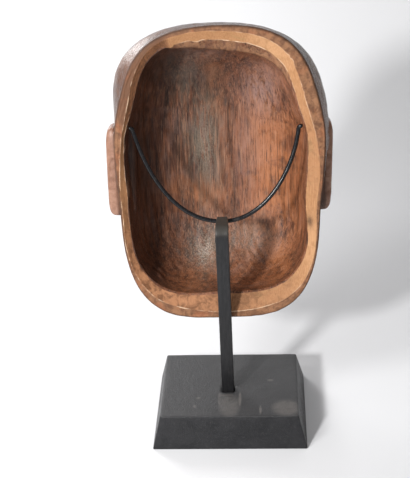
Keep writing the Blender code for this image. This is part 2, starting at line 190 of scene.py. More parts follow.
def face_dome(clock, turn):
    """Outside without carving: a superellipse from rim to front, fuller at the chin than the crown."""
    roll = around(EDGE_ROLL, clock)
    fullness = CROWN_POWER + (CHIN_POWER - CROWN_POWER) * (1 - np.cos(clock)) / 2
    out, deep = rounded(turn, fullness)
    radius = outline(clock) * out + around(BULGE, clock) * np.sin(math.pi * deep)
    centre = MASK_HEIGHT * (0.5 + (FACE_CENTRE - 0.5) * deep**fullness)
    x, z = across_and_up(clock, radius, centre)
    return np.stack([x, -roll - (FACE_DEPTH - roll) * deep, z], axis=-1)


def nose(across, up):
    """A ridge exp(-|x / width|^2.6) that climbs and widens to the tip, and two wings and nostrils."""
    root, tip, base = (share * FACE_HEIGHT for share in (NOSE_ROOT, NOSE_TIP, NOSE_BASE))
    down = np.clip((root - up) / (root - tip), 0.0, 1.0)
    ridge = (0.31 + 1.00 * down**1.2) * smooth(up, base - 0.15, tip)
    ridge *= smooth(-up, -root - 1.1, -root + 0.2)
    wings = 0.52 * hill(np.abs(across), up, 0.68, base + 0.36, 0.36, 0.41)
    nostrils = 0.22 * hill(np.abs(across), up, 0.40, base - 0.02, 0.17, 0.12)
    return ridge * np.exp(-np.abs(across / (0.36 + 0.26 * down)) ** 2.6) + wings - nostrils


def eyes(across, up):
    """A sunk socket, a lid domed as (1 - ellipse)^0.6, the slit where the lids meet and a crease above."""
    level = EYE_LINE * FACE_HEIGHT
    side = np.abs(across)
    socket = hill(side, up, EYE_PLACE - 0.15, level + 0.15, 1.3, 0.77)
    from_middle = side - EYE_PLACE
    lid = 1 - from_middle**2 - ((up - level) / 0.57) ** 2
    bow = 1 - from_middle**2
    slit = np.exp(-(((up - level + 0.15 + 0.15 * bow) / 0.055) ** 2)) * smooth(lid, -0.25, 0.15)
    crease = np.exp(-(((up - level - 0.22 - 0.25 * bow) / 0.05) ** 2)) * smooth(bow, 0.0, 0.4)
    return 0.52 * np.clip(lid, 0.0, 1.0) ** 0.6 - 0.46 * socket - 0.17 * slit - 0.05 * crease


def brows(across, up):
    """One arch a side, a sine of the way along it, with a rounded section."""
    side = np.abs(across)
    along = np.clip((side - 0.2) / BROW_LENGTH, 0.0, 1.0)
    arch = BROW_LINE * FACE_HEIGHT - 0.25 + 0.6 * np.sin(math.pi * along) ** 0.8
    height = smooth(-side, -BROW_LENGTH - 0.6, -BROW_LENGTH + 0.3) - 0.45 * np.exp(-((across / 0.36) ** 2))
    return 0.31 * height * np.exp(-(((up - arch) / 0.28) ** 2))


def mouth(across, up):
    """Two lips that taper as (1 - x^2)^0.6 to the corners, on a low mound, parted by a narrow groove."""
    level = MOUTH_LINE * FACE_HEIGHT
    lips = np.clip(1 - (across / MOUTH_HALF) ** 2, 0.0, 1.0) ** 0.6
    bow = 0.08 * np.exp(-((across / 0.26) ** 2))
    upper = 0.36 * lips * np.exp(-np.abs((up - level - 0.31 + bow) / 0.25) ** 3)
    lower = 0.41 * lips**1.4 * np.exp(-np.abs((up - level + 0.34) / 0.29) ** 3)
    parting = 0.20 * lips * np.exp(-(((up - level) / 0.07) ** 2))
    mound = 0.31 * hill(across, up, 0, level + 0.2, 1.86, 1.24)
    corners = 0.08 * hill(np.abs(across), up, MOUTH_HALF, level, 0.16, 0.16)
    groove = 0.08 * hill(across, up, 0, (MOUTH_LINE + NOSE_BASE) / 2 * FACE_HEIGHT + 0.2, 0.2, 0.41)
    return mound + upper + lower - parting - corners - groove


def cheeks_and_chin(across, up):
    """A low mound under each eye, a fuller one at the chin and a dip under the lower lip."""
    cheek = 0.26 * hill(np.abs(across), up, 2.7, CHEEK_LINE * FACE_HEIGHT, 1.13, 1.03)
    chin = 0.62 * hill(across, up, 0, CHIN_BALL * FACE_HEIGHT, 1.4, 0.98)
    return cheek + chin - 0.21 * hill(across, up, 0, MOUTH_LINE * FACE_HEIGHT - 0.93, 1.24, 0.28)


def hair(across, up):
    """A raised cap behind a flat band, which drops as the fourth power of x toward the temples."""
    edge = HAIR_LINE * FACE_HEIGHT - 3.1 * (across / 5) ** 4
    step = 0.18 * smooth(up, edge - 0.05, edge + 0.05)
    return step - 0.10 * smooth(up, edge + 0.79, edge + 0.87)


def face_relief(x, z):
    """Height of all carved features over the dome, in metres."""
    across, up = x / FACE_UNIT, z / FACE_UNIT
    features = (nose, eyes, brows, mouth, cheeks_and_chin, hair)
    return FACE_UNIT * sum(feature(across, up) for feature in features)


def face_skin(clock, turn):
    """The dome carried out along its own normal, which is the cross product of two short steps on it."""
    step = 1e-4
    held = np.clip(turn - step, 0, math.pi / 2)
    here = face_dome(clock, held)
    normal = np.cross(face_dome(clock + step, held) - here, face_dome(clock, held + step) - here)
    normal /= np.maximum(np.linalg.norm(normal, axis=-1, keepdims=True), 1e-15)
    relief = face_relief(here[..., 0], here[..., 2]) * smooth(turn, 0.08, 0.5)
    knife = 0.16 * ripples(here, 0.011, 5) + 0.07 * ripples(here, 0.0045, 6)
    return here + normal * (relief + MM * (knife - 0.45) * smooth(turn, -0.04, 0.10))[..., None]


# Mean radius of the rim, and the torn place on it in degrees of the clock, each end with its fade
RIM_RADIUS = 0.120
NOISE_RADIUS = 0.1
TORN_FADES_IN = (296, 308)
TORN_FADES_OUT = (339.5, 342.5)


def rim_circle(clock):
    """A circle of 0.1 m on which unrest round the rim is read, so that it meets itself."""
    return NOISE_RADIUS * np.stack([np.cos(clock), np.sin(clock), np.zeros_like(clock)], axis=-1)


def notch(clock, degrees, width_mm):
    """1 at one place round the rim, falling off over a width along it."""
    apart = (clock - math.radians(degrees) + math.pi) % (2 * math.pi) - math.pi
    return np.exp(-np.abs(apart * (RIM_RADIUS / MM) / width_mm) ** 3)


def torn_corner(clock):
    """1 at the upper left, where the raw strip is stained over and no ledge was cut."""
    turned = np.degrees(clock) % 360
    return smooth(turned, *TORN_FADES_IN) * (1 - smooth(turned, *TORN_FADES_OUT))


def chamfer_outer(clock):
    """Edge between raw strip and land: wavy by half a millimetre, chipped at the upper right."""
    chips = 1.3 * notch(clock, 30.8, 1.6) + 1.7 * notch(clock, 33.2, 2.4) + 0.9 * notch(clock, 46, 1.5)
    wave = 0.18 * ripples(rim_circle(clock), 0.026, 11) + 0.10 * ripples(rim_circle(clock), 0.006, 12)
    return outline(clock) - around(LAND, clock) + MM * (wave + chips)


def hollow_lip(clock):
    """Edge between raw strip and hollow, rougher than the outer one and torn at the upper left."""
    torn = 2.2 * notch(clock, 341.5, 3.0) - 1.5 * notch(clock, 337, 3.5) + 1.2 * notch(clock, 352, 4)
    wave = 0.30 * ripples(rim_circle(clock), 0.028, 13) + 0.16 * ripples(rim_circle(clock), 0.007, 14)
    return outline(clock) - around(LAND, clock) - around(CHAMFER, clock) + MM * (wave - torn)


def hollow_edge(clock):
    """Radius and depth at the foot of the ledge under the lip."""
    ledge = around(LEDGE, clock) * (1 - 0.8 * torn_corner(clock))
    smooth_lip = outline(clock) - around(LAND, clock) - around(CHAMFER, clock)
    return smooth_lip - ledge, CHAMFER_DEPTH + LEDGE_SLOPE * ledge


def hollow_skin(clock, turn):
    """The bowl: a superellipse of revolution on the edge, cut by upright gouge strokes."""
    edge, edge_depth = hollow_edge(clock)
    out, deep = rounded(turn, HOLLOW_POWER)
    x, z = across_and_up(clock, edge * out, MASK_HEIGHT / 2)
    skin = np.stack([x, -edge_depth - (HOLLOW_DEPTH - edge_depth) * deep, z], axis=-1)
    strokes = np.abs(ripples(skin * (1.0, 1.0, 0.2), 0.013, 21))
    strokes += 0.5 * np.abs(ripples(skin * (1.0, 1.0, 0.3), 0.006, 22))
    inward = np.stack([-x, 0.1 + skin[..., 1], MASK_HEIGHT / 2 - z], axis=-1)
    inward /= np.linalg.norm(inward, axis=-1, keepdims=True)
    return skin + inward * (MM * (0.75 * strokes - 0.5) * smooth(turn, 0.02, 0.3))[..., None]


def rim_profile(clock):
    """Rings (radius, depth) from the hollow's edge over ledge, chamfer and land to the rolled edge."""
    edge, edge_depth = hollow_edge(clock)
    lip, outer, side = hollow_lip(clock), chamfer_outer(clock), outline(clock)
    roll = around(EDGE_ROLL, clock)
    facets = 0.3 * np.abs((clock * 46 / math.pi + 0.8 * np.sin(5 * clock)) % 2 - 1)
    rough = rim_circle(clock)
    rings = []
    for part in np.linspace(0, 1, LEDGE_RINGS, endpoint=False)[1:]:
        tear = 0.5 * np.sin(math.pi * part) * ripples(rough + part * 0.01, 0.005, 31)
        depth = edge_depth + (CHAMFER_DEPTH - edge_depth) * part + MM * tear
        rings.append((edge + (lip - edge) * part, depth))
    for part in np.linspace(0, 1, CHAMFER_RINGS):
        eased = part + 0.028 * np.sin(2 * math.pi * part)
        cut = np.sin(math.pi * part) ** 0.5 * (facets + 0.10 * ripples(rough + part * 0.02, 0.004, 32))
        rings.append((lip + (outer - lip) * eased, CHAMFER_DEPTH * (1 - eased) + MM * cut))
    land_end = side - roll
    for part in np.linspace(0, 1, LAND_RINGS + 1)[1:]:
        uneven = 0.25 * ripples(rough * 0.7 + part * 0.012, 0.009, 33)
        uneven += 0.12 * ripples(rough + part * 0.01, 0.003, 34)
        rings.append((outer + (land_end - outer) * part, MM * (0.12 + uneven) * smooth(part, 0, 0.3)))
    for turn in np.linspace(0, math.pi / 2, ROLL_RINGS + 1)[1:-1]:
        wear = 0.10 * ripples(rough, 0.007, 35) + 0.20 * np.sin(2 * turn)
        radius = side - roll + roll * np.sin(turn) - MM * wear
        rings.append((radius, roll * (1 - np.cos(turn)) + MM * wear))
    return rings


def closed_faces(rings, steps):
    """Quads between rings that close on themselves, and a fan of triangles at the pole of each end."""
    place = np.arange(rings * steps).reshape(rings, steps) + 1
    beyond = np.roll(place, -1, axis=1)
    quads = np.stack([place[:-1], beyond[:-1], beyond[1:], place[1:]], axis=-1).reshape(-1, 4)
    last = np.full(steps, rings * steps + 1)
    first_fan = np.stack([beyond[0], place[0], np.zeros(steps, int)], axis=-1)
    last_fan = np.stack([place[-1], beyond[-1], last], axis=-1)
    return quads.tolist() + first_fan.tolist() + last_fan.tolist()


def closed_mesh(name, first, rings, last):
    """A mesh from an array of rings (ring, step, 3) and the two pole points."""
    points = np.concatenate([first[None], rings.reshape(-1, 3), last[None]])
    mesh = bpy.data.meshes.new(name)
    mesh.from_pydata(points.tolist(), [], closed_faces(*rings.shape[:2]))
    return mesh


def points_of(mesh):
    """All points of a mesh as an array (point, 3)."""
    points = np.empty(len(mesh.vertices) * 3)
    mesh.vertices.foreach_get("co", points)
    return points.reshape(-1, 3)


def face_outwards(mesh):
    """Turns the whole shell round if its volume, a sum of a . (b x c) / 6, is negative."""
    mesh.calc_loop_triangles()
    corners = np.empty(len(mesh.loop_triangles) * 3, int)
    mesh.loop_triangles.foreach_get("vertices", corners)
    a, b, c = points_of(mesh)[corners].reshape(-1, 3, 3).transpose(1, 0, 2)
    if np.einsum("ij,ij->", a, np.cross(b, c)) < 0:
        mesh.flip_normals()


MASK_AXES = np.array(Matrix.Rotation(MASK_TURN, 3, "Z") @ Matrix.Rotation(MASK_LEAN, 3, "X"))


def mask_to_frame(points):
    """From the mask's own upright coordinates to its place: lean about X, turn about Z, then shift."""
    return points @ MASK_AXES.T + np.array(MASK_PLACE)


def frame_to_mask(points):
    """The way back: shifted first, and turned by the transpose, which is the inverse of a turn."""
    return (points - np.array(MASK_PLACE)) @ MASK_AXES


def mask_rings():
    """The whole skin of the mask but for its ears, as an array (ring, clock, 3)."""
    clock = np.linspace(0, 2 * math.pi, CLOCK_STEPS, endpoint=False)
    bowl_turns = math.pi / 2 * (1 - np.linspace(0, 1, BOWL_RINGS + 1)[1:])
    bowl = [hollow_skin(clock, np.full_like(clock, turn)) for turn in bowl_turns]
    rim = []
    for radius, depth in rim_profile(clock):
        x, z = across_and_up(clock, radius, MASK_HEIGHT / 2)
        rim.append(np.stack([x, -depth, z], axis=-1))
    side_turns = np.linspace(0, math.pi / 4, SIDE_RINGS, endpoint=False)
    front_turns = np.linspace(math.pi / 4, math.pi / 2, FRONT_RINGS, endpoint=False)
    turns = np.concatenate([side_turns, front_turns])
    outside = [face_skin(clock, np.full_like(clock, turn)) for turn in turns]
    return np.stack(bowl + rim + outside)


# The ears, with the wearer's left one first in each pair
EAR_HEIGHT = 0.088
EAR_THICKNESS = 0.026
EAR_REACH = (0.0105, 0.0086)
EAR_TILT = (0.02, -0.03)
EAR_ROOT = 0.018
EAR_LEVEL = 0.488
EAR_DEPTH = 0.043
EAR_POWER = 6.0
EAR_STEPS = (72, 46)


def ball(turns, rises):
    """Rings (rise, turn, 3) of a unit ball from its upper pole: (sin r cos t, sin r sin t, cos r)."""
    turn = np.linspace(0, 2 * math.pi, turns, endpoint=False)
    rise = np.linspace(0, math.pi, rises)[:, None]
    level = np.sin(rise)
    return np.stack([level * np.cos(turn), level * np.sin(turn), np.cos(rise) + 0 * turn], axis=-1)


def ear_rings(side, reach, tilt):
    """A superellipsoid |x|^6 + |y|^6 + |z|^6 = 1 scaled to a slab, its outer face scooped inside a rim."""
    turned = ball(EAR_STEPS[0], EAR_STEPS[1] + 1)
    size = (np.abs(turned) ** EAR_POWER).sum(axis=-1, keepdims=True) ** (-1 / EAR_POWER)
    x, y, z = np.moveaxis(turned * size, -1, 0)
    scoop = np.maximum(0, 1 - (z / 0.80) ** 2) * np.maximum(0, 1 - ((y + 0.2) / 0.62) ** 2)
    fold = 0.13 * np.exp(-(((y + 0.12 - 0.25 * z) / 0.16) ** 2)) * np.maximum(0, 1 - (z / 0.6) ** 2)
    x = x - (0.3 * scoop**0.7 - fold * (scoop > 0)) * np.maximum(0.0, x)
    x, y, z = x * (reach + EAR_ROOT) / 2, y * EAR_THICKNESS / 2, z * EAR_HEIGHT / 2
    middle = MASK_WIDTH / 2 + (reach - EAR_ROOT) / 2
    slab = np.stack([side * (middle + x - tilt * z), y - EAR_DEPTH, EAR_LEVEL * MASK_HEIGHT + z], axis=-1)
    return slab + 0.12 * MM * ripples(slab, 0.008, 41)[..., None]


def add_piece(name, mesh, material):
    """An object at the origin, unturned and unscaled, with its place in its mesh."""
    piece = bpy.data.objects.new(name, mesh)
    mesh.materials.append(material)
    scene.collection.objects.link(piece)
    return piece


def join_by_union(target, others):
    """Boolean unions, applied, so that lug and head are one skin."""
    for other in others:
        union = target.modifiers.new(other.name, "BOOLEAN")
        union.operation = "UNION"
        union.object = other
        union.solver = "EXACT"
    graph = bpy.context.evaluated_depsgraph_get()
    joined = bpy.data.meshes.new_from_object(target.evaluated_get(graph))
    target.modifiers.clear()
    target.data = joined
    for other in others:
        bpy.data.objects.remove(other, do_unlink=True)


def write_values(mesh, name, values):
    """One number for each point, for the material to read."""
    mesh.attributes.new(name, "FLOAT", "POINT").data.foreach_set("value", values.astype(np.float32))


# Places in the hollow, as (x, z, spread x, spread z, strength) in millimetres from the chin
HOLLOW_PATCHES = {
    "pale": [
        (18, 48, 10, 14, 0.7),
        (-20, 56, 24, 11, 0.22),
        (8, 60, 30, 20, 0.25),
        (14, 150, 9, 30, 0.25),
    ],
    "warm": [
        (-48, 120, 34, 110, 1.0),
        (4, 212, 9, 28, 1.0),
        (26, 102, 28, 15, 1.0),
        (-52, 46, 24, 28, 1.0),
        (30, 20, 40, 14, 0.5),
    ],
    # The grey places are a painted sheen: the grey shine up the middle of the hollow.
    "painted_grey_sheen": [
        (16, 158, 20, 66, 1.0),
        (30, 218, 22, 34, 0.8),
        (16, 50, 22, 20, 0.8),
        (-30, 60, 26, 16, 0.5),
    ],
    "mauve": [(-40, 208, 20, 26, 1.0), (-24, 140, 14, 50, 0.5), (24, 246, 40, 10, 0.6)],
    # The dark places are painted shade: the left wall and the top of the hollow, which the light from the
    # left and above does not reach.
    "painted_shade": [
        (78, 160, 26, 120, 1.0),
        (66, 55, 26, 40, 0.8),
        (60, 235, 34, 34, 1.0),
        (20, 220, 38, 26, 0.85),
        (52, 90, 22, 40, 0.5),
    ],
}

# Looks round the rim at the same sixteen marks: how fresh the raw strip is, and how strong the painted
# highlight along its edges is
FRESH = [0.9, 1.25, 0.9, 0.62, 0.66, 1.05, 1.2, 0.6, 0.30, 0.15, 0.15, 0.45, 0.8, 0.9, 0.6, 1.0]
RIDGE_HIGHLIGHT = [0.2, 0.3, 0.6, 0.2, 0.1, 0.1, 0.2, 0.5, 0.8, 0.8, 0.9, 0.9, 0.8, 0.5, 0.9, 0.0]
LIP_HIGHLIGHT = [0.9, 0.7, 0.2, 0.1, 0.1, 0.0, 0.0, 0.0, 0.0, 0.0, 0.0, 0.2, 0.5, 0.8, 0.0, 0.0]
KNOT = (-82.0, 93.0, 3.0, 6.0)
SHELF_MIDDLE = 14
SHELF_FADES_OUT = (33, 40)


def patches(x, z, places):
    """Largest of a few mounds at each point."""
    mounds = [strength * hill(x / MM, z / MM, px, pz, sx, sz) for px, pz, sx, sz, strength in places]
    return np.max(mounds, axis=0)


def mark_zones(mesh):
    """Distances from the rim's edges in millimetres, and what is hollow, rim, skin, ear or raised."""
    x, y, z = frame_to_mask(points_of(mesh)).T
    depth = -y
    clock = np.arctan2(-x, z - MASK_HEIGHT / 2)
    radius = np.hypot(x, z - MASK_HEIGHT / 2)
    edge, edge_depth = hollow_edge(clock)
    share = np.clip(radius / edge, 0, 1)
    floor = edge_depth + (HOLLOW_DEPTH - edge_depth) * (1 - share**HOLLOW_POWER) ** (1 / HOLLOW_POWER)
    bowl = (radius < edge + 0.002) & (depth < floor + 0.005)
    rim = (radius < outline(clock) + 0.001) & (depth < CHAMFER_DEPTH + 0.008) & (radius > edge - 0.004)
    on_rim = rim & ~((radius > chamfer_outer(clock)) & (depth > 0.003))
    write_values(mesh, "from_lip", (radius - hollow_lip(clock)) / MM)
    write_values(mesh, "from_land", (radius - chamfer_outer(clock)) / MM)
    write_values(mesh, "from_edge", (outline(clock) - radius) / MM)
    in_bowl = bowl | on_rim
    write_values(mesh, "skin", np.where(in_bowl, 0.0, 1.0) * smooth(depth, 0.0002, 0.002))
    write_values(mesh, "raised", np.where(bowl, 0.0, face_relief(x, z) / MM))
    for name, places in HOLLOW_PATCHES.items():
        write_values(mesh, name, patches(x, z, places) * in_bowl)
    write_values(mesh, "stain", torn_corner(clock))
    crown = 1 - smooth(np.abs(np.degrees(clock) - SHELF_MIDDLE), *SHELF_FADES_OUT)
    wide_ledge = smooth(around(LEDGE, clock), 0.0015, 0.006) * crown
    write_values(mesh, "shelf", smooth(radius, edge - 0.0008, edge + 0.0004) * wide_ledge)
    # Painted shade in the corner at the foot of the ledge, under the lip
    write_values(mesh, "foot", np.exp(-(((radius - edge) / 0.0013) ** 2)) * wide_ledge)
    write_values(mesh, "fresh", around(FRESH, clock) / MM * (1 - 0.9 * torn_corner(clock)))
    # Painted highlight along the edges of the raw strip, where its ridges catch the light
    write_values(mesh, "ridge", around(RIDGE_HIGHLIGHT, clock) / MM)
    write_values(mesh, "painted_lip_highlight", around(LIP_HIGHLIGHT, clock) / MM)
    write_values(mesh, "knot", hill(x / MM, z / MM, *KNOT) * on_rim)
    lug = smooth(np.abs(x), MASK_WIDTH / 2 + 0.001, MASK_WIDTH / 2 + 0.003)
    beside = np.abs(z - EAR_LEVEL * MASK_HEIGHT) < EAR_HEIGHT / 2 + 0.002
    beside &= np.abs(depth - EAR_DEPTH) < EAR_THICKNESS / 2 + 0.002
    write_values(mesh, "lug", lug * beside)


def add(tree, kind, feeds, **settings):
    """One node. A feed that is a socket is linked, and any other sets the input's own value."""
    made = tree.nodes.new("ShaderNode" + kind)
    for name, value in settings.items():
        setattr(made, name, value)
    for name, value in feeds.items():
        if isinstance(value, bpy.types.NodeSocket):
            tree.links.new(value, made.inputs[name])
        else:
            made.inputs[name].default_value = value
    return made


def calc(tree, operation, first, second=0.0, clamp=False):
    """One sum of two values or sockets."""
    return add(tree, "Math", {0: first, 1: second}, operation=operation, use_clamp=clamp).outputs[0]


def span(tree, value, low, high, to_low=0.0, to_high=1.0):
    """A value carried from one range to another by a smooth step."""
    feeds = {"Value": value, 1: low, 2: high, 3: to_low, 4: to_high}
    return add(tree, "MapRange", feeds, interpolation_type="SMOOTHSTEP").outputs["Result"]


def tint(tree, factor, first, second):
    """Colour mix: an RGB triple or a socket at each end."""
    pair = [c if isinstance(c, bpy.types.NodeSocket) else (*c, 1.0) for c in (first, second)]
    return add(tree, "Mix", {0: factor, 6: pair[0], 7: pair[1]}, data_type="RGBA").outputs[2]


def product(tree, first, second):
    """Two values multiplied."""
    return calc(tree, "MULTIPLY", first, second)


def coats(tree, under, coats_over):
    """Colours laid over one another in turn, each as thick as its factor times its strength."""
    for over, factor, strength in coats_over:
        under = tint(tree, product(tree, factor, strength), under, over)
    return under


def stretched(tree, vector, scale):
    """A place scaled along each axis: a scale under 1 draws a pattern out along it."""
    return add(tree, "Mapping", {"Vector": vector, "Scale": scale}).outputs[0]


def unrest(tree, vector, scale, detail=4.0, rough=0.55, twist=0.0):
    """Noise of about 0.2 to 0.8, with as many swells a metre as the scale."""
    feeds = {"Vector": vector, "Scale": scale, "Detail": detail, "Roughness": rough, "Distortion": twist}
    return add(tree, "TexNoise", feeds).outputs["Fac"]


def named(tree, name):
    """A number that the mesh carries under a name."""
    return add(tree, "Attribute", {}, attribute_name=name).outputs["Fac"]


def new_material(name):
    """An empty finish, as the material, its nodes and its surface shader."""
    made = bpy.data.materials.new(name)
    made.use_nodes = True
    tree = made.node_tree
    return made, tree, tree.nodes["Principled BSDF"]


def roughen(tree, shader, height, depth, strength):
    """Fine relief from a height between 0 and 1, as deep as given."""
    bump = add(tree, "Bump", {"Height": height, "Distance": depth, "Strength": strength})
    tree.links.new(bump.outputs[0], shader.inputs["Normal"])


def hollow_colour(tree, upright, streaks, grain, specks):
    """Red-brown with upright streaks, a painted grey sheen up the middle, orange on the right, rubbed pale
    below and painted shade on the left wall and under the top.
    """
    clouds = unrest(tree, upright, 34.0, 4.0, 0.62, 0.6)
    blots = unrest(tree, stretched(tree, upright, (1.0, 1.0, 0.22)), 170.0, 6.0, 0.74, 0.9)
    orange = product(tree, named(tree, "warm"), span(tree, clouds, 0.34, 0.60))
    mauve = product(tree, named(tree, "mauve"), span(tree, blots, 0.30, 0.56))
    painted_sheen = product(tree, named(tree, "painted_grey_sheen"), span(tree, blots, 0.34, 0.58))
    rubbed = product(tree, named(tree, "pale"), span(tree, specks, 0.42, 0.62))
    shelf = tint(tree, span(tree, blots, 0.38, 0.62), (0.125, 0.058, 0.031), (0.30, 0.150, 0.075))
    on_shelf = product(tree, named(tree, "shelf"), span(tree, blots, 0.36, 0.54))
    wood = tint(tree, span(tree, streaks, 0.35, 0.65), (0.045, 0.016, 0.009), (0.200, 0.068, 0.029))
    return coats(tree, wood, (
        ((0.19, 0.112, 0.092), span(tree, clouds, 0.50, 0.66), 0.45),
        ((0.43, 0.155, 0.055), orange, 0.72),
        ((0.27, 0.170, 0.150), mauve, 0.75),
        # Painted sheen: grey up the middle of the hollow
        ((0.128, 0.116, 0.088), painted_sheen, 0.80),
        ((0.40, 0.205, 0.118), span(tree, grain, 0.54, 0.62), 0.50),
        ((0.022, 0.010, 0.007), span(tree, grain, 0.46, 0.39), 0.70),
        ((0.030, 0.014, 0.010), span(tree, blots, 0.48, 0.32), 0.22),
        ((0.50, 0.42, 0.34), rubbed, 0.95),
        ((0.40, 0.27, 0.19), span(tree, specks, 0.60, 0.78), 0.50),
        ((0.015, 0.007, 0.005), span(tree, specks, 0.40, 0.26), 0.60),
        # Painted shade on the left wall and under the top of the hollow
        ((0.026, 0.011, 0.007), named(tree, "painted_shade"), 0.70),
        (shelf, on_shelf, 0.85),
        # Painted shade at the foot of the ledge under the lip
        ((0.045, 0.019, 0.011), named(tree, "foot"), 0.30),
    ))


def raw_colour(tree, upright, grain, specks):
    """Ochre wood that was never stained, soiled brown where the strip was handled."""
    fibres = unrest(tree, stretched(tree, upright, (1.0, 1.0, 0.05)), 1300.0, 3.0, 0.6)
    clouds = unrest(tree, upright, 48.0, 4.0, 0.6, 0.4)
    blots = unrest(tree, upright, 130.0, 5.0, 0.65, 0.6)
    raw = tint(tree, span(tree, fibres, 0.32, 0.68), (0.34, 0.160, 0.068), (0.44, 0.228, 0.106))
    raw = coats(tree, raw, (
        ((0.62, 0.36, 0.19), span(tree, named(tree, "fresh"), 1.0, 1.5), 0.8),
        ((0.30, 0.145, 0.060), span(tree, blots, 0.48, 0.68), 0.55),
        ((0.31, 0.20, 0.085), span(tree, clouds, 0.55, 0.68), 0.45),
        ((0.27, 0.13, 0.062), span(tree, grain, 0.38, 0.26), 0.70),
    ))
    soiled = tint(tree, span(tree, blots, 0.38, 0.62), (0.170, 0.072, 0.032), (0.38, 0.170, 0.082))
    unsoiled = calc(tree, "ADD", named(tree, "fresh"), calc(tree, "SUBTRACT", blots, 0.5), True)
    stain = tint(tree, span(tree, fibres, 0.36, 0.62), (0.080, 0.032, 0.014), (0.225, 0.095, 0.040))
    return coats(tree, tint(tree, unsoiled, soiled, raw), (
        (stain, named(tree, "stain"), 0.90),
        ((0.075, 0.038, 0.022), product(tree, named(tree, "knot"), specks), 1.5),
    ))


def land_colour(tree, upright, specks):
    """Stained rim: brown with rusty patches, rubbed lighter in specks and darker at the outer edge."""
    clouds = unrest(tree, upright, 60.0, 5.0, 0.65, 0.5)
    blots = unrest(tree, upright, 170.0, 5.0, 0.68, 0.6)
    stained = product(tree, named(tree, "stain"), span(tree, blots, 0.34, 0.56))
    land = tint(tree, span(tree, blots, 0.36, 0.64), (0.135, 0.060, 0.030), (0.270, 0.130, 0.064))
    return coats(tree, land, (
        ((0.31, 0.105, 0.044), span(tree, clouds, 0.50, 0.68), 0.50),
        ((0.43, 0.24, 0.13), span(tree, specks, 0.60, 0.76), 0.45),
        ((0.085, 0.036, 0.018), stained, 0.75),
        ((0.035, 0.017, 0.012), span(tree, named(tree, "from_edge"), 2.6, 0.3), 0.65),
    ))


def skin_colour(tree, upright, grain):
    """Dark patina, rubbed through on what stands out and on the ears, darkest in what is sunk."""
    clouds = unrest(tree, upright, 30.0, 4.0, 0.6, 0.5)
    blots = unrest(tree, upright, 85.0, 5.0, 0.65, 0.8)
    raised = calc(tree, "ADD", named(tree, "raised"), product(tree, blots, 8.0))
    lug = tint(tree, span(tree, blots, 0.28, 0.72), (0.215, 0.100, 0.062), (0.41, 0.232, 0.162))
    skin = tint(tree, span(tree, clouds, 0.36, 0.64), (0.060, 0.027, 0.017), (0.125, 0.056, 0.032))
    return coats(tree, skin, (
        ((0.215, 0.105, 0.062), span(tree, grain, 0.50, 0.70), 0.50),
        ((0.27, 0.125, 0.065), span(tree, raised, 7.0, 22.0), 0.55),
        ((0.022, 0.011, 0.008), span(tree, named(tree, "raised"), -0.5, -6.0), 0.60),
        (lug, named(tree, "lug"), 0.80),
    ))


def carved_wood():
    """Hollow, raw strip, land and outer skin, told apart by the distances that the mesh carries."""
    made, tree, shader = new_material("carved_wood")
    place = add(tree, "TexCoord", {}).outputs["Object"]
    upright = add(tree, "Mapping", {"Vector": place, "Rotation": (-MASK_LEAN, 0, 0)}).outputs[0]
    streaks = unrest(tree, stretched(tree, upright, (1.0, 1.0, 0.10)), 210.0, 5.0, 0.68, 0.5)
    grain = unrest(tree, stretched(tree, upright, (1.0, 1.0, 0.032)), 900.0, 5.0, 0.72, 0.4)
    specks = unrest(tree, stretched(tree, upright, (1.0, 1.0, 0.6)), 900.0, 4.0, 0.72)
    ragged = calc(tree, "SUBTRACT", unrest(tree, upright, 90.0, 5.0, 0.65, 0.6), 0.5)
    fine_ragged = product(tree, calc(tree, "SUBTRACT", specks, 0.5), 0.8)
    unrest_mm = calc(tree, "ADD", ragged, fine_ragged)
    past_lip = calc(tree, "ADD", named(tree, "from_lip"), unrest_mm)
    past_land = calc(tree, "ADD", named(tree, "from_land"), unrest_mm)

    colour = hollow_colour(tree, upright, streaks, grain, specks)
    is_raw = span(tree, past_lip, -0.3, 0.4)
    colour = tint(tree, is_raw, colour, raw_colour(tree, upright, grain, specks))
    colour = tint(tree, span(tree, past_land, -0.3, 0.5), colour, land_colour(tree, upright, specks))
    near_land = span(tree, calc(tree, "ABSOLUTE", past_land), 0.65, 0.10)
    near_lip = span(tree, calc(tree, "ABSOLUTE", past_lip), 0.6, 0.1)
    broken_land = span(tree, unrest(tree, upright, 95.0, 4.0, 0.65), 0.40, 0.62)
    near_land = product(tree, near_land, broken_land)
    broken_lip = span(tree, unrest(tree, upright, 120.0, 4.0, 0.65), 0.36, 0.56)
    near_lip = product(tree, near_lip, broken_lip)
    # Painted highlight: a pale line along the raw strip's edges, where its ridges catch the light
    ridge = product(tree, near_land, named(tree, "ridge"))
    ridge = calc(tree, "MAXIMUM", ridge, product(tree, near_lip, named(tree, "painted_lip_highlight")))
    colour = coats(tree, colour, [((0.80, 0.58, 0.40), ridge, 0.85)])
    is_skin = named(tree, "skin")
    colour = tint(tree, is_skin, colour, skin_colour(tree, upright, grain))
    tree.links.new(colour, shader.inputs["Base Color"])

    rough = span(tree, specks, 0.3, 0.7, 0.36, 0.58)
    rough = calc(tree, "ADD", rough, product(tree, is_raw, 0.22))
    skin_rough = span(tree, streaks, 0.3, 0.7, 0.17, 0.30)
    rough = add(tree, "Mix", {0: is_skin, 2: rough, 3: skin_rough}, data_type="FLOAT").outputs[0]
    tree.links.new(rough, shader.inputs["Roughness"])
    shader.inputs["Specular IOR Level"].default_value = 0.30

    relief = calc(tree, "ADD", product(tree, grain, 0.7), product(tree, specks, 0.5))
    roughen(tree, shader, relief, 0.0007, 0.6)
    return made


